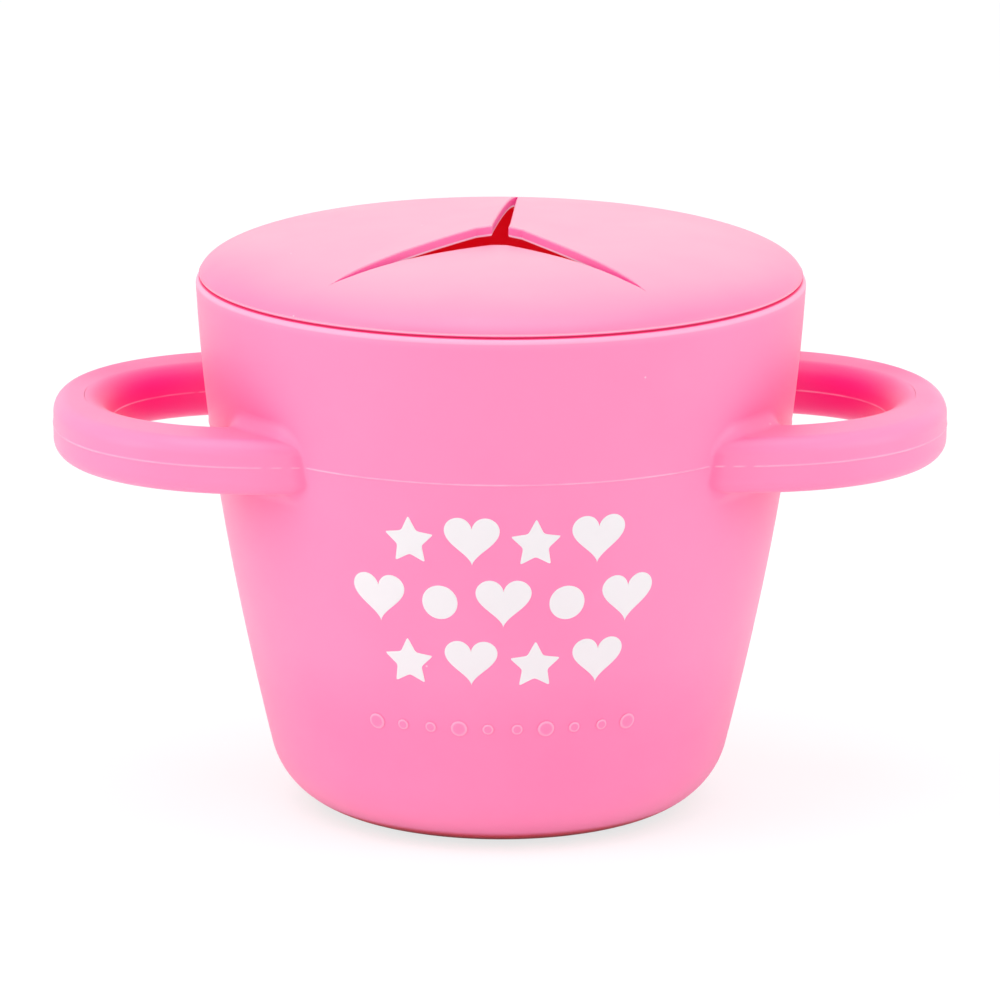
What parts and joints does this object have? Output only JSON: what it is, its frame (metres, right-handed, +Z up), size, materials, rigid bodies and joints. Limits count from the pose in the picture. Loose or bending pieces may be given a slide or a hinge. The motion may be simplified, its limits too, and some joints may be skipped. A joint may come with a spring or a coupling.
{
  "type": "snack container",
  "caption": "soft silicone snack cup with two loop handles and a domed lid slit into springy flaps that let a small hand in and keep the snacks inside",
  "frame": {"origin": "middle of the base, on the surface it stands on", "axes": "+X runs through the right handle, +Y to the back, +Z up"},
  "size_m": [0.1328, 0.09, 0.0862],
  "materials": {
    "cup": "satin pink silicone",
    "lid": "satin pink silicone, slightly paler",
    "print": "matt white print"
  },
  "bodies": {
    "cup": {"cup_shell": "cup", "left_handle": "cup", "right_handle": "cup"},
    "lid": {"lid_rim": "lid"},
    "front_flap": {"front_flap": "lid"},
    "rear_left_flap": {"rear_left_flap": "lid"},
    "rear_right_flap": {"rear_right_flap": "lid"}
  },
  "joints": [
    {"name": "lid_lift", "type": "slide", "parent": "cup", "child": "lid", "axis": [0, 0, 1], "range_m": [0, 0.05]},
    {"name": "front_flap_bend", "type": "hinge", "parent": "lid", "child": "front_flap", "pos_m": [-0.00294, -0.02916, 0.08384], "axis": [-0.995, 0.1002, 0], "range_deg": [-35, 60], "stiffness_Nm_per_rad": 0.02},
    {"name": "rear_left_flap_bend", "type": "hinge", "parent": "lid", "child": "rear_left_flap", "pos_m": [-0.01062, 0.00478, 0.08384], "axis": [0.4107, 0.9118, 0], "range_deg": [-35, 60], "stiffness_Nm_per_rad": 0.02},
    {"name": "rear_right_flap_bend", "type": "hinge", "parent": "lid", "child": "rear_right_flap", "pos_m": [0.01136, 0.00257, 0.08384], "axis": [0.2207, -0.9753, 0], "range_deg": [-35, 60], "stiffness_Nm_per_rad": 0.02}
  ]
}
